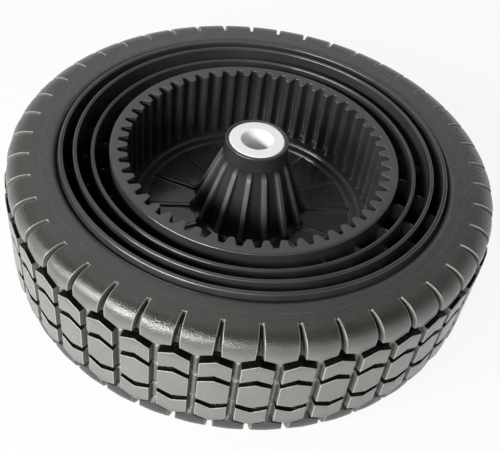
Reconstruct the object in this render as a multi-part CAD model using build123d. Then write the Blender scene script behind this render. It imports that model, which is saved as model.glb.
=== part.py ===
from build123d import *
import os
from math import atan2, cos, degrees, radians, sin, tan, pi

os.makedirs("parts", exist_ok=True)

# The wheel lies flat with its gear side up. Z is the axle line and z = 0 is the lower sidewall.
# All sizes are in millimetres and angles are in degrees.

# Tyre
tyre_r = 101.6
tyre_width = 57.0
rubber_depth = 21.0
bead_bevel = 2.6
shoulder_round = 8.7
shoulder_facets = 3
tread_pitches = 44
tread_phase = 6.3
groove_depth = 3.2
axial_groove_width = 3.2
axial_run_out = 7.0
zigzag_width = 2.2
zigzag_rise = 2.9
inner_zigzag_height = 7.3
outer_zigzag_height = 18.0
slot_reach = 10.4
slot_end_depth = 1.4
slot_end_width = 1.5
slot_mouth_width = 3.4

# Ridge round the barrel that keeps the tyre from sliding off
ridge_height = 2.0
ridge_top_half = 6.0
ridge_foot_half = 8.0

# Moulded wheel: each ring wall stands at a share of the gap between gear and barrel
barrel_top = 58.4
barrel_bottom = 1.0
barrel_wall = 2.6
barrel_crown_inset = 0.9
barrel_crown_drop = 3.4
ring_a_share = 0.74444
ring_a_top = 58.5
ring_b_share = 0.36111
ring_b_top = 56.3
ring_wall = 1.8
ring_bevel = 0.5
web_top = 23.0
web_thickness = 3.5
rib_count = 24
rib_phase = 1.6
rib_thickness = 1.2
rib_top = 50.0
rib_bite = 0.4

# Internal gear
gear_top = 57.0
gear_outer_r = 60.0
gear_edge_bevel = 0.7
tooth_count = 52
tooth_module = 2.1
tooth_phase = 2.4
tooth_tip_share = 0.93
tooth_root_share = 0.9
pressure_angle = 20.0
gear_depth = 31.5
ledge_r = 49.5
step_r = 46.2
step_height = 1.2

# Hub and its bushing
hub_top = 61.9
hub_length = 50.0
hub_r = 13.1
collar_r = 13.6
collar_bottom = 55.0
hub_edge_bevel = 0.4
core_top_r = 12.9
core_foot_r = 21.5
hub_rib_count = 14
hub_rib_phase = 8.9
hub_rib_thickness = 2.1
hub_rib_head_r = 13.8
hub_rib_foot_r = 24.6
floor_rib_height = 1.0
boss_r = 19.0
bushing_r = 11.55
bore_r = 6.35
bore_chamfer = 0.5
hub_mouth_chamfer = 0.35

seat_r = tyre_r - rubber_depth
slot_end_r = tyre_r - slot_reach
barrel_inner_r = seat_r - barrel_wall
barrel_crown_r = seat_r - barrel_crown_inset
ring_gap = barrel_inner_r - gear_outer_r
ring_a_r = gear_outer_r + ring_a_share * ring_gap
ring_b_r = gear_outer_r + ring_b_share * ring_gap
mid = tyre_width / 2
floor_r = tyre_r - groove_depth
pitch_angle = 360 / tread_pitches
pitch_length = 2 * pi * tyre_r / tread_pitches
face_r = (tyre_r**2 - ((pitch_length - axial_groove_width) / 2) ** 2) ** 0.5
web_bottom = web_top - web_thickness
hub_bottom = hub_top - hub_length
ledge_top = gear_top - gear_depth


def section(points):
    """Face from (radius, height) points, standing in the plane through the axle line."""
    return make_face(Polyline(*points, close=True))


def spun(face):
    """Solid from a section turned once round the axle line."""
    return revolve(Plane.XZ * face, Axis.Z)


def bevelled(face, size, chosen):
    """Section with the corners that the test chooses cut off at an angle."""
    return chamfer([v for v in face.vertices() if chosen(v.X, v.Y)], size)


def shoulder_points():
    """Points along the round from tread to upper sidewall, evenly turned, at the middle of a block."""
    turns = [90 / shoulder_facets * k for k in range(shoulder_facets + 1)]
    return [
        (
            face_r - shoulder_round * (1 - cos(radians(a))),
            tyre_width - shoulder_round * (1 - sin(radians(a))),
        )
        for a in turns
    ]


def around(shape, count, phase):
    """Copies of a shape evenly spaced round the axle line."""
    return [Rot(0, 0, phase + 360 / count * k) * shape for k in range(count)]


# Seat between tyre and barrel, shared by both pieces, from the lower side to the upper side
seat_line = [
    (seat_r, mid - ridge_foot_half),
    (seat_r + ridge_height, mid - ridge_top_half),
    (seat_r + ridge_height, mid + ridge_top_half),
    (seat_r, mid + ridge_foot_half),
]


def flat_sided(r, z):
    """Face across the axle line with one flat side for each tread pitch, r away at its middle."""
    corner_r = r / cos(radians(pitch_angle / 2))
    turns = [radians(tread_phase + pitch_angle * (k + 0.5)) for k in range(tread_pitches)]
    return Plane.XY.offset(z) * make_face(
        Polyline(*[(corner_r * cos(a), corner_r * sin(a)) for a in turns], close=True)
    )


def make_tyre():
    # Every block has a flat face, and its corners lie on the outer circle of the tyre.
    upper = shoulder_points()
    outline = [(r, tyre_width - z) for r, z in upper[::-1]] + upper
    layers = [
        extrude(flat_sided(r0, z0), z1 - z0, taper=degrees(atan2(r0 - r1, z1 - z0)))
        for (r0, z0), (r1, z1) in zip(outline, outline[1:])
    ]
    mouth_r = seat_r + bead_bevel + 1
    inside = spun(
        section(
            [(0, -1), (mouth_r, -1), (seat_r, bead_bevel)]
            + seat_line
            + [(seat_r, tyre_width - bead_bevel), (mouth_r, tyre_width + 1), (0, tyre_width + 1)]
        )
    )
    ring = layers[0].fuse(*layers[1:]).clean() - inside

    # One pitch of the tread, drawn flat against the tyre where the middle of a block is.
    # Heights are measured from the mid line of the tread.
    flat = Plane(origin=(floor_r, 0, mid), x_dir=(0, 1, 0), z_dir=(1, 0, 0))
    reach = pitch_length / 2 + 0.2
    over = groove_depth + 1

    def zigzag(height, way):
        ends = height - way * zigzag_rise / 2
        peak = height + way * zigzag_rise / 2
        half = zigzag_width / 2
        band = section(
            [
                (-reach, ends - half),
                (0, peak - half),
                (reach, ends - half),
                (reach, ends + half),
                (0, peak + half),
                (-reach, ends + half),
            ]
        )
        return extrude(flat * band, over)

    # An axial groove is level under the rows of blocks and rises to the surface over each shoulder.
    rise_end = outer_zigzag_height + axial_run_out
    past_tread = rise_end - (mid - shoulder_round)
    rise_r = tyre_r - shoulder_round + (shoulder_round**2 - past_tread**2) ** 0.5
    axial_side = section(
        [
            (floor_r, mid - outer_zigzag_height),
            (floor_r, mid + outer_zigzag_height),
            (rise_r, mid + rise_end),
            (tyre_r + 1, mid + rise_end),
            (tyre_r + 1, mid - rise_end),
            (rise_r, mid - rise_end),
        ]
    )
    axial = Rot(0, 0, pitch_angle / 2) * extrude(Plane.XZ * axial_side, axial_groove_width / 2, both=True)

    # A slot runs from the outer zigzag over the shoulder and ends on the sidewall.
    depth_line = section(
        [
            (floor_r, mid + outer_zigzag_height),
            (floor_r, tyre_width - shoulder_round),
            (floor_r - 0.29 * shoulder_round, tyre_width - groove_depth - 0.2 * shoulder_round),
            (slot_end_r, tyre_width - slot_end_depth),
            (slot_end_r, tyre_width + 1),
            (tyre_r + 1, tyre_width + 1),
            (tyre_r + 1, mid + outer_zigzag_height),
        ]
    )
    width_line = make_face(
        Polyline(
            (slot_end_r, -slot_end_width / 2),
            (tyre_r + 1, -slot_mouth_width / 2),
            (tyre_r + 1, slot_mouth_width / 2),
            (slot_end_r, slot_end_width / 2),
            close=True,
        )
    )
    slot = extrude(Plane.XZ * depth_line, slot_mouth_width, both=True)
    slot = slot & extrude(width_line, tyre_width + 2)
    lower_slot = mirror(slot, Plane.XY.offset(mid))

    grooves = zigzag(outer_zigzag_height, 1) + zigzag(-outer_zigzag_height, -1)
    grooves = grooves + zigzag(inner_zigzag_height, 1) + zigzag(-inner_zigzag_height, -1)
    grooves = grooves + slot + lower_slot + axial
    return ring - [s for g in around(grooves, tread_pitches, tread_phase) for s in g.solids()]


def ring_wall_points(r, top):
    """Thin wall standing on the web."""
    half = ring_wall / 2
    return [(r - half, web_top), (r - half, top), (r + half, top), (r + half, web_top)]


def gear_hole():
    """Outline inside the teeth: each tooth is a straight-sided rack form wrapped on the pitch circle."""
    pitch_r = tooth_module * tooth_count / 2
    tip_r = pitch_r - tooth_tip_share * tooth_module
    root_r = pitch_r + tooth_root_share * tooth_module
    slope = tan(radians(pressure_angle))
    tip_half = pi * tooth_module / 4 - (pitch_r - tip_r) * slope
    root_half = pi * tooth_module / 4 + (root_r - pitch_r) * slope
    points = []
    for k in range(tooth_count):
        middle = radians(tooth_phase + 360 / tooth_count * k)
        for r, side in ((root_r, -root_half), (tip_r, -tip_half), (tip_r, tip_half), (root_r, root_half)):
            a = middle + side / r
            points.append((r * cos(a), r * sin(a)))
    return make_face(Polyline(*points, close=True)) - Circle(ledge_r - 1)


def make_wheel_body():
    outline = section(
        [
            (bushing_r, hub_bottom),
            (bushing_r, hub_top - hub_mouth_chamfer),
            (bushing_r + hub_mouth_chamfer, hub_top),
            (hub_r, hub_top),
            (collar_r, collar_bottom),
            (core_top_r, collar_bottom - 0.5),
            (core_foot_r, web_top),
            (step_r, web_top),
            (step_r, web_top + step_height),
            (ledge_r, web_top + step_height),
            (ledge_r, gear_top),
            (gear_outer_r, gear_top),
            (gear_outer_r, web_top),
        ]
        + ring_wall_points(ring_b_r, ring_b_top)
        + ring_wall_points(ring_a_r, ring_a_top)
        + [
            (barrel_inner_r, web_top),
            (barrel_inner_r, barrel_top),
            (barrel_crown_r, barrel_top),
            (seat_r, barrel_top - barrel_crown_drop),
        ]
        + seat_line[::-1]
        + [
            (seat_r, barrel_bottom),
            (barrel_inner_r, barrel_bottom),
            (barrel_inner_r, web_bottom),
            (boss_r, web_bottom),
            (boss_r, hub_bottom),
        ]
    )
    outline = bevelled(
        outline, ring_bevel, lambda r, z: gear_outer_r + 1 < r < barrel_crown_r + 0.1 and z > rib_top + 1
    )
    outline = bevelled(
        outline, gear_edge_bevel, lambda r, z: abs(r - gear_outer_r) < 0.1 and z > gear_top - 0.1
    )
    outline = bevelled(outline, hub_edge_bevel, lambda r, z: abs(r - hub_r) < 0.1 and z > hub_top - 0.1)
    body = spun(outline)
    body = body - extrude(Plane.XY.offset(ledge_top) * gear_hole(), hub_top)

    ribs = []
    inner_gap = (gear_outer_r, ring_b_r - ring_wall / 2)
    middle_gap = (ring_b_r + ring_wall / 2, ring_a_r - ring_wall / 2)
    outer_gap = (ring_a_r + ring_wall / 2, barrel_inner_r)
    half_step = 180 / rib_count
    for (r0, r1), phase in ((inner_gap, 0), (middle_gap, half_step), (outer_gap, 0)):
        side = section(
            [
                (r0 - rib_bite, web_top - rib_bite),
                (r1 + rib_bite, web_top - rib_bite),
                (r1 + rib_bite, rib_top),
                (r0 - rib_bite, rib_top),
            ]
        )
        rib = extrude(Plane.XZ * side, rib_thickness / 2, both=True)
        ribs += around(rib, rib_count, rib_phase + phase)

    # A rib runs down the cone of the hub and on along the floor to the ledge.
    foot = web_top + floor_rib_height
    side = section(
        [
            (core_top_r - 0.3, collar_bottom + 0.5),
            (hub_rib_head_r - 0.3, collar_bottom + 0.5),
            (hub_rib_head_r, collar_bottom - 1),
            (hub_rib_foot_r, foot + 1.5),
            (hub_rib_foot_r + 1.5, foot),
            (step_r + rib_bite, foot),
            (step_r + rib_bite, web_top - rib_bite),
            (core_top_r - 0.3, web_top - rib_bite),
        ]
    )
    hub_rib = extrude(Plane.XZ * side, hub_rib_thickness / 2, both=True)
    ribs += around(hub_rib, hub_rib_count, hub_rib_phase)
    return body + ribs


def make_hub_bushing():
    sleeve = section(
        [
            (bore_r, hub_bottom + bore_chamfer),
            (bore_r + bore_chamfer, hub_bottom),
            (bushing_r - hub_mouth_chamfer, hub_bottom),
            (bushing_r, hub_bottom + hub_mouth_chamfer),
            (bushing_r, hub_top - hub_mouth_chamfer),
            (bushing_r - hub_mouth_chamfer, hub_top),
            (bore_r + bore_chamfer, hub_top),
            (bore_r, hub_top - bore_chamfer),
        ]
    )
    return spun(sleeve)


export_step(make_tyre(), "parts/tyre.step")
export_step(make_wheel_body(), "parts/wheel_body.step")
export_step(make_hub_bushing(), "parts/hub_bushing.step")
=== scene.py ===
"""Mower drive wheel with a block-tread tyre, an internal gear and a white hub bushing.

The wheel lies flat on a pale floor with its gear side up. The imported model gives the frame, and every
piece is a surface worked out on a grid: one axis runs round the axle line and the other along a section.
"""
from math import pi, radians, tan

import bpy
import numpy as np
from bpy.props import FloatProperty, FloatVectorProperty, IntProperty, PointerProperty
from mathutils import Matrix, Vector


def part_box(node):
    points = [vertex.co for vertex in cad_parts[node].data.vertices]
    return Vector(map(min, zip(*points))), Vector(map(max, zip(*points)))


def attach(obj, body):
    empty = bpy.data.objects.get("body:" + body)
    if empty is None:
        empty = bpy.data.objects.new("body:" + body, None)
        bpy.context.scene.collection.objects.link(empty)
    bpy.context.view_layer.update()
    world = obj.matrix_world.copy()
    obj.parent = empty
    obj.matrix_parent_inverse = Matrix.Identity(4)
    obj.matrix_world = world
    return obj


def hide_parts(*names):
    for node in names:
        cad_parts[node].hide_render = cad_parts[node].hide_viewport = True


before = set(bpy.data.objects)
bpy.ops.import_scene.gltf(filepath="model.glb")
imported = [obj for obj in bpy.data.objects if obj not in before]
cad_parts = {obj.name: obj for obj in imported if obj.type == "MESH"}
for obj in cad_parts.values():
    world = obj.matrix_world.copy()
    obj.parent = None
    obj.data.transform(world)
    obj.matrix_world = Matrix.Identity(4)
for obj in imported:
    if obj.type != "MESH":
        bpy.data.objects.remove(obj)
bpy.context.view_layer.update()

bl_info = {
    "name": "Mower drive wheel",
    "version": (1, 0, 0),
    "blender": (4, 5, 0),
    "location": "View3D > Sidebar > Wheel",
    "description": "Builds a mower drive wheel with tread, internal gear and hub bushing",
    "category": "Add Mesh",
}

MM = 0.001
TYRE_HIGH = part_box("tyre")[1]
BUSH_LOW, BUSH_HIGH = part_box("hub_bushing")

# Section of the moulded wheel in millimetres: corners as radius, height and round. The hub runs from its
# lower end up the bore to the head of the cone. The rest runs from the gear's edge over the two rings and
# the barrel, down its ridge and back over the underside.
HUB_CORNERS = [
    (11.55, 11.9, 0.3), (11.55, 61.55, 0), (11.9, 61.9, 0),
    (13.1, 61.9, 0.45), (13.6, 55.0, 0.35), (12.9, 54.5, 0),
]
GEAR_CORNER = (49.5, 57.0, 0)
RIM_CORNERS = [
    (60.0, 57.0, 0.8), (60.0, 23.0, 1.0),
    (65.15, 23.0, 1.0), (65.65, 56.3, 0.75), (67.35, 56.3, 0.75), (67.85, 23.0, 1.0),
    (72.05, 23.0, 1.0), (72.55, 58.5, 0.75), (74.25, 58.5, 0.75), (74.75, 23.0, 1.0),
    (78.0, 23.0, 1.0), (78.0, 58.4, 0.7), (79.7, 58.4, 0.8), (80.6, 55.0, 0.4),
    (80.6, 36.5, 0), (82.6, 34.5, 0), (82.6, 22.5, 0), (80.6, 20.5, 0),
    (80.6, 1.0, 0.6), (78.0, 1.0, 0.6), (78.0, 19.5, 1.5), (19.0, 19.5, 1.2), (19.0, 11.9, 0.6),
]

# Points between hub and gear in millimetres: radius and height. On the teeth, the radius is the distance
# from the tooth outline.
CONE_HEAD, CONE_FOOT = (12.7, 54.5), (21.1, 24.2)
WEB_POINTS = [
    (21.9, 23.6), (22.6, 23.15), (23.8, 23.0), (26.0, 23.0), (30.0, 23.0), (38.0, 23.0), (44.8, 23.0),
]
LEDGE_POINTS = [
    (45.8, 23.0), (46.0, 23.1), (46.15, 23.9), (46.4, 24.15), (49.0, 24.2),
    (49.3, 24.3), (49.45, 25.2), (49.7, 25.45), (50.2, 25.5),
]
TOOTH_POINTS = [
    (0.0, 25.5), (0.0, 26.0), (0.0, 36.0), (0.0, 48.0), (0.0, 56.5), (0.08, 56.85), (0.35, 57.0),
]
GEAR_FACE_POINTS = [(58.0, 57.0)]

# Crest line of the hub ribs in millimetres, from head to foot.
CREST_HEIGHTS = (55.0, 54.0, 25.5, 24.0)
CREST_RADII = (13.7, 13.9, 24.6, 26.1)

# Ribs between the rings: inner and outer end in millimetres, and shift as a share of the spacing.
RIB_GAPS = ((59.6, 65.9, 0), (67.1, 72.8, 0.5), (74.0, 78.4, 0))


def metres(name, description, default):
    """A length in metres."""
    return FloatProperty(name=name, description=description, default=default, unit="LENGTH", precision=4)


def length(name, description, default):
    """A length in metres, given in millimetres."""
    return metres(name, description, default / 1000)


def angle(name, description, default):
    """An angle, given in degrees."""
    return FloatProperty(name=name, description=description, default=radians(default), subtype="ANGLE")


def number(name, description, default, least):
    """A whole number with its least value."""
    return IntProperty(name=name, description=description, default=default, min=least)


def power(name, description, default):
    """The power of a light in watts."""
    return FloatProperty(name=name, description=description, default=default, unit="POWER")


def colour(name, description, default):
    """A linear colour."""
    return FloatVectorProperty(
        name=name, description=description, default=default, subtype="COLOR", min=0, max=1
    )


class WHEEL_tyre(bpy.types.PropertyGroup):
    """Sizes and colours of the tyre"""

    radius: metres("Radius", "Outside radius", float(TYRE_HIGH[0]))
    width: metres("Width", "Width over the sidewalls", float(TYRE_HIGH[2]))
    seat: length("Seat radius", "Radius where the tyre sits on the wheel", 80.6)
    bead_round: length("Bead round", "Round at the inner edge of the sidewall", 2.6)
    shoulder_round: length("Shoulder round", "Round between tread and sidewall", 8.7)
    pitches: number("Pitches", "Tread blocks in one row", 44, 8)
    phase: angle("Phase", "Angle of the first block", 6.3)
    groove_depth: length("Groove depth", "Depth of the zigzag grooves", 3.2)
    axial_depth: length("Axial depth", "Depth of the grooves between blocks of a row", 2.6)
    axial_width: length("Axial groove", "Width of the grooves between blocks of a row", 3.2)
    zigzag_width: length("Zigzag groove", "Width of the grooves between rows", 2.9)
    zigzag_rise: length("Zigzag rise", "Height of the zigzag from dip to peak", 2.9)
    inner_line: length("Inner zigzag", "Height of the inner zigzag above the mid line", 7.3)
    outer_line: length("Outer zigzag", "Height of the outer zigzag above the mid line", 18.0)
    slot_end: length("Slot end", "Radius where a shoulder slot ends", 91.2)
    slot_end_depth: length("Slot end depth", "Depth of a slot at its end on the sidewall", 1.4)
    slot_end_width: length("Slot end width", "Width of a slot at its end on the sidewall", 1.5)
    slot_mouth: length("Slot mouth", "Width of a slot where it meets the zigzag", 3.4)
    shoulder_drop: length("Shoulder drop", "Depth of the shoulder's foot below the blocks", 1.3)
    run_out: length("Run-out", "Length over which the shoulder's foot rises", 8.0)
    edge: length("Edge round", "Round along the edges of the blocks", 0.3)
    rubber: colour("Rubber", "Colour of the sidewalls", (0.026, 0.0247, 0.0205))
    # The tread colour is partly a greyer tread surface and partly painted light for the light the tread faces
    # catch.
    tread: colour("Tread", "Colour of the tread, greyer than the sidewalls", (0.150, 0.1465, 0.136))


class WHEEL_body(bpy.types.PropertyGroup):
    """Sizes and colours of the moulded wheel"""

    teeth: number("Teeth", "Teeth of the internal gear", 52, 12)
    module: length("Module", "Pitch diameter over the number of teeth", 2.1)
    tooth_phase: angle("Tooth phase", "Angle of the first tooth", 2.4)
    hub_ribs: number("Hub ribs", "Ribs down the cone of the hub", 14, 3)
    hub_rib_phase: angle("Hub rib phase", "Angle of the first hub rib", 8.9)
    hub_rib_width: length("Hub rib width", "Thickness of a hub rib", 2.1)
    ribs: number("Ring ribs", "Ribs in each gap between the rings", 24, 3)
    rib_phase: angle("Ring rib phase", "Angle of the first ring rib", 1.6)
    rib_width: length("Ring rib width", "Thickness of a ring rib", 1.2)
    rib_foot: length("Ring rib foot", "Height of the feet of the ring ribs, inside the web", 22.6)
    rib_top: length("Ring rib top", "Height of the tops of the ring ribs", 50.0)
    plastic: colour("Plastic", "Colour of the gloss moulding", (0.031, 0.031, 0.0313))
    # The rib crest colour is a painted highlight, paler than the plastic for the sheen on the crests.
    crest: colour("Rib crest", "Colour along the crests of the hub ribs", (0.125, 0.124, 0.120))
    gear_face: colour("Gear face", "Colour of the matte face of the gear ring", (0.048, 0.0465, 0.041))


class WHEEL_bushing(bpy.types.PropertyGroup):
    """Sizes and colours of the hub bushing"""

    radius: metres("Radius", "Outside radius", float(BUSH_HIGH[0]))
    bore: length("Bore radius", "Radius of the axle bore", 6.35)
    nylon: colour("Nylon", "Colour of the bushing", (0.90, 0.90, 0.885))


class WHEEL_stage(bpy.types.PropertyGroup):
    """Floor, light and camera"""

    floor: colour("Floor", "Colour of the floor", (0.80, 0.80, 0.80))
    key: power("Key light", "Power of the soft light at the front left", 19.5)
    fill: power("Fill light", "Power of the wide soft light at the front", 4.0)
    top: power("Top light", "Power of the soft light above and behind", 1.6)
    ambient: FloatProperty(
        name="Ambient", description="Strength of the even light from all round", default=0.14
    )
    lens: FloatProperty(
        name="Lens", description="Focal length on a 36 mm wide sensor", default=56.25,
        subtype="DISTANCE_CAMERA",
    )
    pan: angle("Pan", "Turn of the camera to the left, away from its target", -0.35)
    tilt: angle("Tilt", "Turn of the camera upwards, away from its target", -5.61)
    roll: angle("Roll", "Turn of the camera about its line of sight", -7.97)


def grid_faces(rows, columns, row_loop):
    """Quads of a grid whose columns close round the axle line. Its rows close too if row_loop is set."""
    index = np.arange(rows * columns).reshape(rows, columns)
    here = index if row_loop else index[:-1]
    above = np.roll(index, -1, axis=0) if row_loop else index[1:]
    quads = np.stack([here, np.roll(here, -1, axis=1), np.roll(above, -1, axis=1), above], axis=-1)
    return quads.reshape(-1, 4)


def mesh_object(name, points, quads, material, cad_node, marks=None):
    """Smooth mesh that stands for a CAD node, from points in metres and quads.

    Each mark is a named value at every point, which the material reads.
    """
    mesh = bpy.data.meshes.new(name)
    mesh.vertices.add(len(points))
    mesh.vertices.foreach_set("co", np.ascontiguousarray(points, dtype=np.float32).ravel())
    mesh.loops.add(quads.size)
    mesh.loops.foreach_set("vertex_index", quads.ravel().astype(np.int32))
    mesh.polygons.add(len(quads))
    mesh.polygons.foreach_set("loop_start", np.arange(0, quads.size, 4, dtype=np.int32))
    mesh.update(calc_edges=True)
    if mesh.validate():
        raise RuntimeError(name + " has faulty faces")
    mesh.polygons.foreach_set("use_smooth", np.ones(len(quads), dtype=bool))
    for label, values in (marks or {}).items():
        layer = mesh.attributes.new(label, "FLOAT", "POINT")
        layer.data.foreach_set("value", values.astype(np.float32).ravel())
    mesh.materials.append(material)
    piece = bpy.data.objects.new(name, mesh)
    bpy.context.scene.collection.objects.link(piece)
    weighted = piece.modifiers.new("Flat faces stay flat", "WEIGHTED_NORMAL")
    weighted.mode = "FACE_AREA"
    weighted.weight = 50
    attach(piece, "root")
    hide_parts(cad_node)
    return piece


def turned(radius, height, theta):
    """Points at a radius and height, turned by theta round the axle line."""
    return np.stack([radius * np.cos(theta), radius * np.sin(theta), height], axis=-1)


def smooth(share):
    """Smooth step of a share, which is held between 0 and 1."""
    share = np.clip(share, 0, 1)
    return share**2 * (3 - 2 * share)


def rounded_corners(corners, steps):
    """Points at each corner (radius, height, round) of a closed section, as an arc between its sides."""
    given = np.array(corners, dtype=float)
    spot, size = given[:, :2], given[:, 2]
    out = []
    for k, corner in enumerate(spot):
        if size[k] <= 0:
            out.append(corner[None])
            continue
        before, after = spot[k - 1] - corner, spot[(k + 1) % len(spot)] - corner
        before, after = before / np.linalg.norm(before), after / np.linalg.norm(after)
        half = np.arccos(np.clip(before @ after, -1, 1)) / 2
        bisector = (before + after) / np.linalg.norm(before + after)
        centre = corner + bisector * size[k] / np.sin(half)
        start = corner + before * size[k] / np.tan(half) - centre
        end = corner + after * size[k] / np.tan(half) - centre
        turn = np.linspace(0, 1, steps)[:, None]
        sweep = pi - 2 * half
        arc = (np.sin((1 - turn) * sweep) * start + np.sin(turn * sweep) * end) / np.sin(sweep)
        out.append(centre + arc)
    return out


def new_group(name, inputs, outputs):
    """Empty shader node group with its sockets and its input and output nodes."""
    group = bpy.data.node_groups.new(name, "ShaderNodeTree")
    for label, default in inputs:
        socket = group.interface.new_socket(label, in_out="INPUT", socket_type="NodeSocketFloat")
        socket.default_value = default
    for label in outputs:
        group.interface.new_socket(label, in_out="OUTPUT", socket_type="NodeSocketFloat")
    return group, group.nodes.new("NodeGroupInput"), group.nodes.new("NodeGroupOutput")


def node(tree, kind, settings=None, **values):
    """Shader node with its settings and its socket values or links.

    A socket is named with _ for a space, or numbered as i0, i1 and so on.
    """
    made = tree.nodes.new("ShaderNode" + kind)
    for key, value in (settings or {}).items():
        setattr(made, key, value)
    for key, value in values.items():
        numbered = key[0] == "i" and key[1:].isdigit()
        socket = made.inputs[int(key[1:]) if numbered else key.replace("_", " ")]
        if isinstance(value, bpy.types.NodeSocket):
            tree.links.new(value, socket)
        else:
            socket.default_value = value
    return made


def math_node(tree, operation, *values, clamp=False):
    """Result of a math operation on values or links."""
    sockets = {"i%d" % k: value for k, value in enumerate(values)}
    return node(tree, "Math", {"operation": operation, "use_clamp": clamp}, **sockets).outputs[0]


def between(tree, factor, low, high):
    """Value that runs from low to high with a factor."""
    return node(tree, "MapRange", Value=factor, To_Min=low, To_Max=high).outputs["Result"]


def mixed(tree, factor, a, b):
    """Colour mix of a and b by a factor."""
    made = node(tree, "Mix", {"data_type": "RGBA"}, i0=factor)
    for socket, value in ((made.inputs[6], a), (made.inputs[7], b)):
        if isinstance(value, bpy.types.NodeSocket):
            tree.links.new(value, socket)
        else:
            socket.default_value = (*value, 1.0)
    return made.outputs[2]


def shade(tone, factor):
    """Colour made lighter or darker by a factor."""
    return tuple(factor * c for c in tone)


def blotched(tree, blotch, tone, low, high):
    """Colour that wanders between two shades with a blotch."""
    return mixed(tree, blotch, shade(tone, low), shade(tone, high))


def mark(tree, name):
    """Value of a mark of the mesh."""
    return node(tree, "Attribute", {"attribute_name": name}).outputs["Fac"]


def grain_group():
    """Moulded grain: fine and coarse noise in Object coordinates, as a height for bump and a slow blotch."""
    group, entry, leave = new_group(
        "Moulded grain", [("Fine Scale", 2500.0), ("Coarse Scale", 60.0), ("Mix", 0.3)], ["Height", "Blotch"]
    )
    place = node(group, "TexCoord").outputs["Object"]
    scales = entry.outputs
    fine = node(group, "TexNoise", Vector=place, Scale=scales["Fine Scale"], Detail=2.0, Roughness=0.55)
    coarse = node(group, "TexNoise", Vector=place, Scale=scales["Coarse Scale"], Detail=3.0, Roughness=0.6)
    share = math_node(group, "MULTIPLY", coarse.outputs["Fac"], entry.outputs["Mix"])
    height = math_node(group, "ADD", fine.outputs["Fac"], share)
    group.links.new(height, leave.inputs["Height"])
    blotch = node(group, "MapRange", Value=coarse.outputs["Fac"], From_Min=0.3, From_Max=0.7)
    group.links.new(blotch.outputs["Result"], leave.inputs["Blotch"])
    return group


def band_group():
    """Band mask: one between two radii and two heights about the axle line, with soft limits."""
    labels = ("Inner Radius", "Outer Radius", "Low", "High", "Softness")
    group, entry, leave = new_group("Band about the axle", [(label, 0.001) for label in labels], ["Mask"])
    parts = node(group, "SeparateXYZ", Vector=node(group, "TexCoord").outputs["Object"])
    flat = node(group, "CombineXYZ", X=parts.outputs["X"], Y=parts.outputs["Y"])
    radius = node(group, "VectorMath", {"operation": "LENGTH"}, i0=flat.outputs[0]).outputs["Value"]
    height = parts.outputs["Z"]
    inner, outer, low, high, soft = (entry.outputs[label] for label in labels)

    def ramp(top, bottom):
        gap = math_node(group, "SUBTRACT", top, bottom)
        return math_node(group, "ADD", math_node(group, "DIVIDE", gap, soft), 0.5, clamp=True)

    across = math_node(group, "MULTIPLY", ramp(radius, inner), ramp(outer, radius))
    along = math_node(group, "MULTIPLY", ramp(height, low), ramp(high, height))
    group.links.new(math_node(group, "MULTIPLY", across, along), leave.inputs["Mask"])
    return group


def place_group(tree, name, maker, **values):
    """Node group placed in a material with its own values, and made on first use."""
    made = tree.nodes.new("ShaderNodeGroup")
    made.node_tree = bpy.data.node_groups.get(name) or maker()
    for key, value in values.items():
        made.inputs[key.replace("_", " ")].default_value = value
    return made


def grain(tree, fine, coarse, mix):
    """Height and blotch of the moulded grain at a fine and a coarse scale."""
    placed = place_group(
        tree, "Moulded grain", grain_group, Fine_Scale=fine, Coarse_Scale=coarse, Mix=mix
    )
    return placed.outputs["Height"], placed.outputs["Blotch"]


def band(tree, radii, heights, softness):
    """Mask of the band between two radii and two heights."""
    placed = place_group(
        tree, "Band about the axle", band_group, Inner_Radius=radii[0], Outer_Radius=radii[1],
        Low=heights[0], High=heights[1], Softness=softness,
    )
    return placed.outputs["Mask"]


def new_material(name):
    """Material with only a Principled shader and an output."""
    material = bpy.data.materials.new(name)
    material.use_nodes = True
    tree = material.node_tree
    tree.nodes.clear()
    shader = tree.nodes.new("ShaderNodeBsdfPrincipled")
    tree.links.new(shader.outputs[0], tree.nodes.new("ShaderNodeOutputMaterial").inputs["Surface"])
    return material, tree, shader


def bumped(tree, shader, height, strength, distance):
    """Gives a shader a bump from a height."""
    bump = node(tree, "Bump", Strength=strength, Distance=distance, Height=height)
    tree.links.new(bump.outputs["Normal"], shader.inputs["Normal"])


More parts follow.
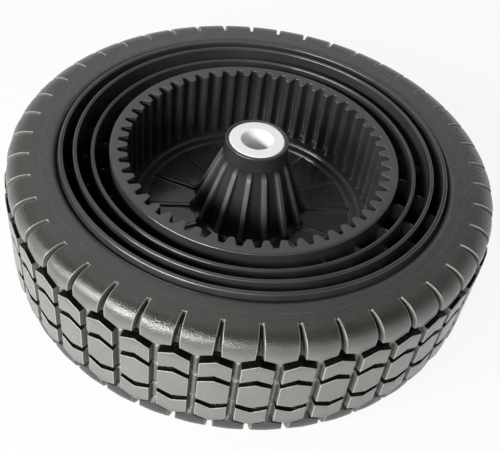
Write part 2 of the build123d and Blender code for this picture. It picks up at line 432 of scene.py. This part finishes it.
def rubber_material(size):
    """Tyre rubber: dark sidewalls, a tread that is greyer partly by painted light, painted shade in the
    grooves and on the lower shoulder, painted light on the strips, painted highlights on the edges, and a
    fine moulded grain.
    """
    material, tree, shader = new_material("Tyre rubber")
    rubber, tread = tuple(size.rubber), tuple(size.tread)
    height, blotch = grain(tree, fine=1800.0, coarse=70.0, mix=0.35)
    groove, painted_light_strip, edge = (mark(tree, name) for name in ("groove", "painted_light_strip", "edge"))
    reach = size.outer_line + 1.0 * MM
    tread_mask = band(
        tree, radii=(size.radius - 4.6 * MM, size.radius + 10.0 * MM),
        heights=(size.width / 2 - reach, size.width / 2 + reach), softness=9.0 * MM,
    )
    mould_line = band(
        tree, radii=(86.9 * MM, 87.2 * MM), heights=(-1.0 * MM, size.width + 1.0 * MM), softness=0.3 * MM
    )

    faint_line = math_node(tree, "MULTIPLY", mould_line, 0.18)
    painted_edge_highlight = math_node(tree, "MULTIPLY", edge, 0.9)
    side = mixed(tree, faint_line, blotched(tree, blotch, rubber, low=0.86, high=1.14), tread)
    # The tread band takes the paler tread colour: partly a greyer surface, partly painted light on the tread
    # faces.
    tone = mixed(tree, tread_mask, side, blotched(tree, blotch, tread, low=0.92, high=1.08))
    # Painted light: the strip mark paints the axial groove floors and the upper shoulder's foot paler, for
    # the light they catch.
    tone = mixed(tree, painted_light_strip, tone, shade(tread, 1.15))
    # Painted highlight: the edge mark paints the block and slot edges pale, for the light their rounds catch.
    tone = mixed(tree, painted_edge_highlight, tone, shade(tread, 3.0))
    # Painted shade: the groove mark darkens the zigzag grooves, the slots, the axial groove walls and the
    # lower shoulder to near black.
    tone = mixed(tree, groove, tone, shade(rubber, 0.1))
    tree.links.new(tone, shader.inputs["Base Color"])

    tree.links.new(between(tree, blotch, low=0.21, high=0.29), shader.inputs["Roughness"])
    # The groove mark also lowers the specular level there, painted shade on the reflections.
    gloss = math_node(tree, "SUBTRACT", 1.0, math_node(tree, "MULTIPLY", groove, 0.8))
    tree.links.new(gloss, shader.inputs["Specular IOR Level"])
    bumped(tree, shader, height, strength=0.6, distance=0.36 * MM)
    return material


def plastic_material(size):
    """Moulded plastic: glossy black, with a painted highlight that makes the rib crests paler, and a matte
    grey face on the gear ring.
    """
    material, tree, shader = new_material("Moulded plastic")
    height, blotch = grain(tree, fine=2200.0, coarse=45.0, mix=0.6)
    face = band(
        tree, radii=(51.5 * MM, 59.3 * MM), heights=(56.6 * MM, 58.0 * MM), softness=0.4 * MM
    )
    black = blotched(tree, blotch, tuple(size.plastic), low=0.8, high=1.25)
    # Painted highlight: the crest mark paints the hub rib crests paler.
    black = mixed(tree, mark(tree, "crest"), black, tuple(size.crest))
    grey = blotched(tree, blotch, tuple(size.gear_face), low=0.93, high=1.07)
    tree.links.new(mixed(tree, face, black, grey), shader.inputs["Base Color"])

    matte = math_node(tree, "MULTIPLY", face, 0.25)
    rough = math_node(tree, "ADD", between(tree, blotch, low=0.18, high=0.27), matte)
    tree.links.new(rough, shader.inputs["Roughness"])
    shader.inputs["Specular IOR Level"].default_value = 0.8
    bumped(tree, shader, height, strength=0.12, distance=0.1 * MM)
    return material


def nylon_material(size):
    """White nylon: soft satin with a faint blotch."""
    material, tree, shader = new_material("White nylon")
    height, blotch = grain(tree, fine=1500.0, coarse=120.0, mix=0.4)
    tone = blotched(tree, blotch, tuple(size.nylon), low=0.96, high=1.0)
    tree.links.new(tone, shader.inputs["Base Color"])
    tree.links.new(between(tree, blotch, low=0.38, high=0.46), shader.inputs["Roughness"])
    shader.inputs["Subsurface Weight"].default_value = 0.05
    bumped(tree, shader, height, strength=0.1, distance=0.1 * MM)
    return material


def section_lengths(size):
    """Lengths along half the tyre's outer section: tread, shoulder arc, flat sidewall and bead arc."""
    tread = size.width / 2 - size.shoulder_round
    flat = size.radius - size.shoulder_round - size.seat - size.bead_round
    return tread, size.shoulder_round * pi / 2, flat, size.bead_round * pi / 2


def outer_section(size, reach):
    """Radius, height above the mid line and lean of the normal along the tyre's outer section."""
    tread, arc, flat, _ = section_lengths(size)
    turn = np.clip((reach - tread) / size.shoulder_round, 0, pi / 2)
    inward = np.clip(reach - tread - arc, 0, flat)
    roll = np.clip((reach - tread - arc - flat) / size.bead_round, 0, pi / 2)
    side_radius = size.radius - size.shoulder_round
    radius = side_radius + size.shoulder_round * np.cos(turn) - inward - size.bead_round * np.sin(roll)
    lift = np.minimum(reach, tread) + size.shoulder_round * np.sin(turn)
    lift = lift - size.bead_round * (1 - np.cos(roll))
    return radius, lift, turn + roll


def groove_side(size):
    """Steps over one groove edge, from face to floor: distance past the edge and depth below the face."""
    draft = 0.45 * MM
    step = np.array([-size.edge, -0.2 * size.edge, 0.25 * size.edge, draft])
    return step, np.array([0.0, 0.28 * size.edge, size.edge, size.groove_depth])


def tyre_rows(size, slot_end):
    """Rows above the mid line: place along the section, depth of the zigzag grooves, share of the slots."""
    step, drop = groove_side(size)
    tread, arc, flat, bead = section_lengths(size)
    half_width = size.zigzag_width / 2
    inner, outer = (
        np.concatenate([line - half_width + step, line + half_width - step[::-1]])
        for line in (size.inner_line, size.outer_line)
    )
    # The outer groove has one steep wall and runs to a point, so that it reads as a dark line from above.
    outer[4] = outer[3] + 0.3 * MM
    zigzag = np.concatenate([drop, drop[::-1]])
    middle = np.array([0.25, 0.6]) * inner[0]
    side_row = np.linspace(inner[-1], outer[0], 4)[1:-1]
    slot_edge = slot_end - step[::-1]
    shoulder = np.linspace(outer[-1], slot_edge[0], 13)[1:-1]
    sidewall = np.linspace(slot_edge[-1], tread + arc + flat, 7)[1:]
    rolled = tread + arc + flat + bead * (1 - np.array([0.78, 0.55, 0.32, 0.1, 0.0]))

    t = np.concatenate([middle, inner, side_row, outer, shoulder, slot_edge, sidewall, rolled])
    tread_drop = np.concatenate([0 * middle, zigzag, 0 * side_row, zigzag])
    row_drop = np.concatenate([tread_drop, np.zeros(len(t) - len(tread_drop))])
    open_rows = np.ones(len(tread_drop) + len(shoulder))
    closed_rows = np.zeros(len(sidewall) + len(rolled))
    run_out = [1.0, 0.45, 0.1, 0.0]
    slot_share = np.concatenate([open_rows, run_out, closed_rows]) * (t > size.outer_line)
    return t, row_drop, slot_share


def tyre_columns(size, pitch):
    """Columns from the middle of a block, where the slot is, to the middle of the groove beside the block.

    Given are the offset along the tread, which columns move with the slot's half width, the share of the
    slot's depth, the depth of the axial groove and how much painted shade the groove's wall gets.
    """
    step, drop = groove_side(size)
    # Painted shade on the walls of the axial grooves.
    wall_shade = 0.68
    axial_edge = pitch / 2 - size.axial_width / 2 + step
    offset = np.concatenate([[0.0], -step[::-1], [0.0], axial_edge, [pitch / 2]])
    moves = np.array([0.0] + [1.0] * 4 + [0.0] * 6)
    slot = np.concatenate([[1.0], drop[::-1] / size.groove_depth, np.zeros(6)])
    axial = np.concatenate([np.zeros(6), drop[:3], [size.axial_depth] * 2])
    wall = np.concatenate([np.zeros(8), [wall_shade, wall_shade, 0.0]])
    return offset, moves, slot, axial, wall


def both_halves(half, sign=1):
    """Row values from one bead to the other, from those above the mid line, with 0 on it."""
    return np.concatenate([sign * half[::-1], [0.0], half])[:, None]


def whole_pitch(half):
    """Column values over a whole pitch, from those of half a pitch. The groove's middle is taken once."""
    return np.concatenate([half[:0:-1][1:], half])[None]


def tyre_surface(size):
    """Tyre on a grid of columns round the axle line and rows along the section, with the marks for its
    painted light and shade.

    A row is a distance t along the outer section, measured from the mid line of the tread over the shoulder
    and down the sidewall to the bead. Rows of the tread are bent by a triangle wave, so that they run along
    the zigzag grooves. Columns lie on the edges of the axial grooves and of the shoulder slots. Each point
    then goes below the face by the depth of the groove it lies in, along the normal of the section.
    """
    pitch = 2 * pi * size.radius / size.pitches
    tread, arc, flat, bead = section_lengths(size)
    slot_end = tread + arc + size.radius - size.shoulder_round - size.slot_end
    half_t, half_drop, half_share = tyre_rows(size, slot_end)
    t, row_drop, slot_row = both_halves(half_t, -1), both_halves(half_drop), both_halves(half_share)
    half_offset, moves, half_slot, half_axial, half_wall_shade = tyre_columns(size, pitch)
    slot_mask, axial_drop, axial_wall_shade = (whole_pitch(half) for half in (half_slot, half_axial, half_wall_shade))
    reach = np.abs(t)
    on_tread = reach <= size.outer_line
    past = reach - size.outer_line
    zigzag_half = size.zigzag_width / 2

    # Width and depth of a slot along the section, and columns that follow its edges.
    along = np.clip(past / (slot_end - size.outer_line), 0, 1)
    slot_half = (size.slot_mouth + (size.slot_end_width - size.slot_mouth) * along) / 2
    slot_deep = size.groove_depth + (size.slot_end_depth - size.groove_depth) * along**2
    right = half_offset[None] + moves[None] * slot_half
    right[:, 5] = (right[:, 4] + right[:, 6]) / 2
    offset = np.concatenate([-right[:, :0:-1][:, 1:], right], axis=1)

    # Depth below the face: zigzag, foot of the shoulder, axial grooves that run out, and slots.
    axial_row = 1 - smooth((past + 1.0 * MM) / (zigzag_half + 2.5 * MM))
    foot_drop = size.shoulder_drop * (1 - smooth((past - zigzag_half) / size.run_out)) * ~on_tread
    depth = np.maximum.reduce([
        np.broadcast_to(np.maximum(row_drop, foot_drop), offset.shape),
        axial_drop * axial_row,
        slot_mask * slot_row * slot_deep,
    ])

    # Rows bend along the zigzag: fully between the two lines, not at all on the mid line and the sidewall.
    wave = 0.5 - np.abs(offset) / (pitch / 2)
    bend_ends = [0, size.inner_line, size.outer_line, tread + 0.8 * arc, tread + arc + flat + bead]
    bend = np.interp(reach, bend_ends, [0, 1, 1, 0, 0])
    bent = t + np.sign(t) * bend * wave * size.zigzag_rise
    radius, lift, lean = outer_section(size, np.abs(bent))
    radius = radius - depth * np.cos(lean)
    height = size.width / 2 + np.sign(bent) * (lift - depth * np.sin(lean))

    shape = (len(t), size.pitches, offset.shape[1])
    block = 2 * pi / size.pitches * np.arange(size.pitches)
    theta = size.phase + (offset / size.radius)[:, None, :] + block[None, :, None]
    points = turned(
        np.broadcast_to(radius[:, None], shape), np.broadcast_to(height[:, None], shape), theta
    )

    # Painted marks: shade in grooves and on the lower shoulder, light on strips between and above blocks,
    # highlights on block edges.
    slot_shade, shade_tone, foot_length = 0.62, 0.8, 11.0 * MM
    floor_columns = axial_drop > 0.5 * size.axial_depth
    foot = np.clip(1 - past / foot_length, 0, 1) * ~on_tread
    # Painted light on the axial groove floors and on the upper shoulder's foot.
    painted_light_strip = np.maximum(floor_columns * on_tread, foot * (t > 0))
    # Painted shade in the zigzag grooves, the slots, the axial groove walls and on the lower shoulder, which
    # faces down.
    in_zigzag = np.clip(row_drop / size.edge, 0, 1) * ~floor_columns
    in_slot = slot_shade * np.clip(slot_mask * size.groove_depth / size.edge, 0, 1) * slot_row
    lower_shoulder_shade = shade_tone * foot * (t < 0)
    between_blocks = np.maximum(in_zigzag, axial_wall_shade * on_tread)
    groove = np.maximum(between_blocks, np.maximum(in_slot, lower_shoulder_shade))
    # Painted highlights on the rounded block edges and along the slot edges.
    block_edge_highlight = (depth > 0) & (depth < 1.5 * size.edge) & (past < size.zigzag_width)
    slot_edge = (slot_mask * slot_row > 0) & (slot_mask < 0.4)
    marks = {"groove": groove, "painted_light_strip": painted_light_strip, "edge": block_edge_highlight | slot_edge}
    marks = {name: np.broadcast_to(values[:, None], shape) for name, values in marks.items()}
    return points.reshape(len(t), -1, 3), marks


class WHEEL_OT_tyre(bpy.types.Operator):
    """Builds the tyre with its tread, shoulder slots and sidewalls"""

    bl_idname = "wheel.tyre"
    bl_label = "Tyre"

    def execute(self, context):
        size = context.scene.wheel_tyre
        points, marks = tyre_surface(size)
        quads = grid_faces(*points.shape[:2], True)
        mesh_object("tyre_skin", points.reshape(-1, 3), quads, rubber_material(size), "tyre", marks)
        return {"FINISHED"}


def tooth_outline(size):
    """One tooth pitch of the internal gear as angle and radius, with rounded tip and root.

    The flanks are those of a rack with 20 degree sides, wrapped on the pitch circle. Half the width of the
    tooth is given at each radius, from the middle of the tip to the middle of the root.
    """
    m, n = size.module, size.teeth
    pitch_r = m * n / 2
    tip, root = pitch_r - 0.93 * m, pitch_r + 0.9 * m
    slope = tan(radians(20))

    def half(r):
        return pi * m / 4 + (r - pitch_r) * slope

    tip_end, root_start = tip + 0.2 * m, root - 0.18 * m
    radius = np.array([tip, tip, tip + 0.05 * m, tip_end, pitch_r, root_start, root, root])
    width = np.array([
        0, half(tip) - 0.14 * m, half(tip) - 0.02 * m, half(tip_end),
        half(pitch_r), half(root_start), half(root) + 0.1 * m, pi * root / n,
    ])
    turn = width / radius
    return np.concatenate([-turn[6:0:-1], turn]), np.concatenate([radius[6:0:-1], radius])


def body_surface(size):
    """Moulded wheel on one closed grid, with the mark of its rib crests, which carries their painted
    highlight.

    Columns run round the axle line and rows along the closed section. Rows on the gear follow the tooth
    outline instead of a circle. Where a column lies within a hub rib, rows on the cone are pushed out to the
    crest line, and rows on the web are lifted.
    """
    corners = rounded_corners(HUB_CORNERS + [GEAR_CORNER] + RIM_CORNERS, 4)
    hub = np.concatenate(corners[:len(HUB_CORNERS)])
    rim = np.concatenate(corners[len(HUB_CORNERS) + 1:])
    cone = np.linspace(CONE_HEAD, CONE_FOOT, 12)[1:]
    blocks = [hub, cone, WEB_POINTS, LEDGE_POINTS, TOOTH_POINTS, GEAR_FACE_POINTS, rim]
    rows = np.concatenate([np.array(block) for block in blocks])
    part = np.repeat(np.arange(len(blocks)), [len(block) for block in blocks])[:, None]
    on_cone, on_web, on_teeth = part == 1, part == 2, part == 4
    r, z = rows[:, :1] * MM, rows[:, 1:] * MM

    turn, tooth_r = tooth_outline(size)
    spacing = 2 * pi / size.teeth
    even = (np.arange(len(turn)) - len(turn) // 2 + 1) / len(turn) * spacing
    starts = size.tooth_phase + spacing * np.arange(size.teeth)[:, None]
    theta = np.where(on_teeth, (starts + turn).reshape(1, -1), (starts + even).reshape(1, -1))
    radius = r + np.where(on_teeth, np.tile(tooth_r, size.teeth)[None], 0)

    # Hub ribs: distance across the rib from its middle line, then push and lift within the rib.
    gap = 2 * pi / size.hub_ribs
    across = np.abs((theta - size.hub_rib_phase + gap / 2) % gap - gap / 2) * radius
    inside = smooth((size.hub_rib_width / 2 + 0.2 * MM - across) / (0.4 * MM))
    crest_line = np.interp(-z, -MM * np.array(CREST_HEIGHTS), MM * np.array(CREST_RADII))
    radius = radius + inside * np.where(on_cone, crest_line - r, 0)
    near_hub = np.clip((CREST_RADII[-1] * MM - r) / (4.6 * MM), 0, 1)
    height = z + inside * np.where(on_web, (1.0 + 1.5 * near_hub) * MM, 0)
    # Mark for the painted highlight along the rib crests.
    crest = inside**2 * on_cone
    return turned(radius, height, theta)[::-1], crest[::-1]


def rib_boxes(size):
    """Thin ribs between the rings: closed boxes with a rounded top, whose ends lie inside the walls."""
    half, low, top = size.rib_width / 2, size.rib_foot, size.rib_top
    outline = np.array([
        [-half, low], [0, low], [half, low], [half, top - 0.4 * MM],
        [0.6 * half, top - 0.1 * MM], [0, top], [-0.6 * half, top - 0.1 * MM], [-half, top - 0.4 * MM],
    ])
    count = len(outline)
    here = np.arange(count)
    after = np.roll(here, -1)
    sides = np.stack([here, after, after + count, here + count], axis=-1)
    end = np.array([[1, 2, 3, 4], [0, 1, 4, 5], [5, 6, 7, 0]])
    quads = np.concatenate([sides, end[:, ::-1], end + count])

    points = []
    for inner, outer, shift in RIB_GAPS:
        reach = np.repeat([inner * MM, outer * MM], count)
        across, height = np.tile(outline, (2, 1)).T
        turn = size.rib_phase + 2 * pi / size.ribs * (np.arange(size.ribs) + shift)
        cos, sin = np.cos(turn)[:, None], np.sin(turn)[:, None]
        spot = [reach * cos - across * sin, reach * sin + across * cos, np.tile(height, (size.ribs, 1))]
        points.append(np.stack(spot, axis=-1))
    points = np.concatenate(points)
    faces = quads + 2 * count * np.arange(len(points))[:, None, None]
    return points.reshape(-1, 3), faces.reshape(-1, 4)


class WHEEL_OT_body(bpy.types.Operator):
    """Builds the moulded wheel with its rings, ribs, internal gear and hub"""

    bl_idname = "wheel.body"
    bl_label = "Moulded wheel"

    def execute(self, context):
        size = context.scene.wheel_body
        surface, crest = body_surface(size)
        ribs, rib_faces = rib_boxes(size)
        points = np.concatenate([surface.reshape(-1, 3), ribs])
        quads = np.concatenate([grid_faces(*surface.shape[:2], True), rib_faces + crest.size])
        # The crest mark carries the painted highlight; the ring ribs get none.
        marks = {"crest": np.concatenate([crest.ravel(), np.zeros(len(ribs))])}
        mesh_object("wheel_body_skin", points, quads, plastic_material(size), "wheel_body", marks)
        return {"FINISHED"}


class WHEEL_OT_bushing(bpy.types.Operator):
    """Builds the white bushing in the hub: a sleeve section turned round the axle line"""

    bl_idname = "wheel.bushing"
    bl_label = "Hub bushing"

    def execute(self, context):
        size = context.scene.wheel_bushing
        low, high = float(BUSH_LOW[2]), float(BUSH_HIGH[2])
        section = np.concatenate(rounded_corners([
            (size.radius, low, 0.5 * MM), (size.radius, high, 0.5 * MM),
            (size.bore, high, 0.6 * MM), (size.bore, low, 0.6 * MM),
        ], 6))
        columns = 128
        theta = 2 * pi / columns * np.arange(columns)[None]
        height = np.repeat(section[:, 1:], columns, axis=1)
        points = turned(section[:, :1], height, theta).reshape(-1, 3)
        quads = grid_faces(len(section), columns, True)
        mesh_object("hub_bushing_skin", points, quads, nylon_material(size), "hub_bushing")
        return {"FINISHED"}


def make_floor(size):
    """Floor that curves up into a low wall all round, so that the background is pale from every side."""
    flat_r, bend_r, wall_top, columns = 3.0, 1.0, 2.2, 64
    below_wheel = 0.2 * MM
    bend = np.linspace(0, pi / 2, 7)
    section = np.stack([flat_r + bend_r * np.sin(bend), bend_r * (1 - np.cos(bend))], axis=-1)
    section = np.concatenate([[[0.02, 0], [0.5, 0]], section, [[flat_r + bend_r, wall_top]]])
    around = np.linspace(0, 2 * pi, columns, endpoint=False)[None]
    height = np.repeat(section[:, 1:] - below_wheel, columns, axis=1)
    points = turned(section[:, :1], height, around).reshape(-1, 3)
    middle = [list(range(columns))]
    mesh = bpy.data.meshes.new("floor")
    mesh.from_pydata(points.tolist(), [], grid_faces(len(section), columns, False).tolist() + middle)
    mesh.polygons.foreach_set("use_smooth", np.ones(len(mesh.polygons), dtype=bool))
    mesh.materials.append(floor_material(size))
    floor = bpy.data.objects.new("floor", mesh)
    bpy.context.scene.collection.objects.link(floor)


def floor_material(size):
    """Pale floor that looks nearly white to the camera and in reflections, and still shows the shadow."""
    material, tree, shader = new_material("Pale floor")
    shader.inputs["Base Color"].default_value = (*size.floor, 1)
    shader.inputs["Roughness"].default_value = 0.9
    shader.inputs["Specular IOR Level"].default_value = 0.1
    path = node(tree, "LightPath").outputs
    seen = math_node(tree, "MAXIMUM", path["Is Camera Ray"], path["Is Glossy Ray"])
    seen = math_node(tree, "MAXIMUM", seen, path["Is Transmission Ray"])
    glow = node(tree, "Emission", Color=(1, 1, 1, 1), Strength=1.0)
    share = math_node(tree, "MULTIPLY", seen, 0.9)
    blend = node(tree, "MixShader", i0=share, i1=shader.outputs[0], i2=glow.outputs[0])
    tree.links.new(blend.outputs[0], tree.nodes["Material Output"].inputs["Surface"])
    return material


def soft_light(name, watts, place, target, size):
    """Rectangular soft light aimed at a point."""
    lamp = bpy.data.lights.new(name, "AREA")
    lamp.energy = watts
    lamp.shape = "RECTANGLE"
    lamp.size, lamp.size_y = size
    made = bpy.data.objects.new(name, lamp)
    bpy.context.scene.collection.objects.link(made)
    aim = (Vector(target) - Vector(place)).to_track_quat("-Z", "Y")
    made.matrix_world = Matrix.Translation(place) @ aim.to_matrix().to_4x4()


def even_light(strength):
    """World that gives the same light from all round."""
    world = bpy.data.worlds.new("Studio")
    bpy.context.scene.world = world
    world.use_nodes = True
    tree = world.node_tree
    tree.nodes.clear()
    even = node(tree, "Background", Color=(1, 1, 1, 1), Strength=strength)
    tree.links.new(even.outputs[0], tree.nodes.new("ShaderNodeOutputWorld").inputs["Surface"])


def make_camera(size):
    """Camera aimed at the axle line at the height of the gear face, then panned, tilted and rolled."""
    target = Vector((0, 0, 0.057))
    place = Vector((0, -0.2529, 0.2622))
    forward = (target - place).normalized()
    right = forward.cross(Vector((0, 0, 1))).normalized()
    up = right.cross(forward)
    pan = Matrix.Rotation(size.pan, 3, up)
    forward, right = pan @ forward, pan @ right
    tilt = Matrix.Rotation(size.tilt, 3, right)
    forward, up = tilt @ forward, tilt @ up
    roll = Matrix.Rotation(size.roll, 3, forward)
    right, up = roll @ right, roll @ up
    lens = bpy.data.cameras.new("camera")
    lens.lens, lens.sensor_width, lens.sensor_fit = size.lens, 36, "HORIZONTAL"
    lens.clip_start = 0.01
    camera = bpy.data.objects.new("camera", lens)
    bpy.context.scene.collection.objects.link(camera)
    turn = Matrix((right, up, -forward)).transposed().to_4x4()
    camera.matrix_world = Matrix.Translation(place) @ turn
    bpy.context.scene.camera = camera


class WHEEL_OT_stage(bpy.types.Operator):
    """Sets the floor, the soft light and the camera"""

    bl_idname = "wheel.stage"
    bl_label = "Stage"

    def execute(self, context):
        size = context.scene.wheel_stage
        context.scene.view_settings.view_transform = "Standard"
        make_floor(size)
        even_light(size.ambient)
        soft_light("key", size.key, place=(-0.66, -0.76, 0.54), target=(0, 0, 0.03), size=(0.90, 0.26))
        soft_light("fill", size.fill, place=(-0.25, -1.20, 0.50), target=(0, 0, 0.03), size=(1.0, 0.6))
        soft_light("top", size.top, place=(-0.25, 0.45, 1.0), target=(0, 0, 0.05), size=(0.7, 0.7))
        make_camera(size)
        return {"FINISHED"}


class WHEEL_PT_panel(bpy.types.Panel):
    """Lists the wheel's pieces"""

    bl_idname = "WHEEL_PT_panel"
    bl_label = "Mower drive wheel"
    bl_space_type = "VIEW_3D"
    bl_region_type = "UI"
    bl_category = "Wheel"

    def draw(self, context):
        for maker in OPERATORS:
            self.layout.operator(maker.bl_idname)


GROUPS = {
    "wheel_tyre": WHEEL_tyre,
    "wheel_body": WHEEL_body,
    "wheel_bushing": WHEEL_bushing,
    "wheel_stage": WHEEL_stage,
}
OPERATORS = (WHEEL_OT_tyre, WHEEL_OT_body, WHEEL_OT_bushing, WHEEL_OT_stage)


def register():
    for name, group in GROUPS.items():
        bpy.utils.register_class(group)
        setattr(bpy.types.Scene, name, PointerProperty(type=group))
    for cls in OPERATORS + (WHEEL_PT_panel,):
        bpy.utils.register_class(cls)


def unregister():
    for cls in (WHEEL_PT_panel,) + OPERATORS[::-1]:
        bpy.utils.unregister_class(cls)
    for name, group in GROUPS.items():
        delattr(bpy.types.Scene, name)
        bpy.utils.unregister_class(group)


def main():
    register()
    bpy.ops.wheel.tyre()
    bpy.ops.wheel.body()
    bpy.ops.wheel.bushing()
    bpy.ops.wheel.stage()


if __name__ == "__main__":
    main()
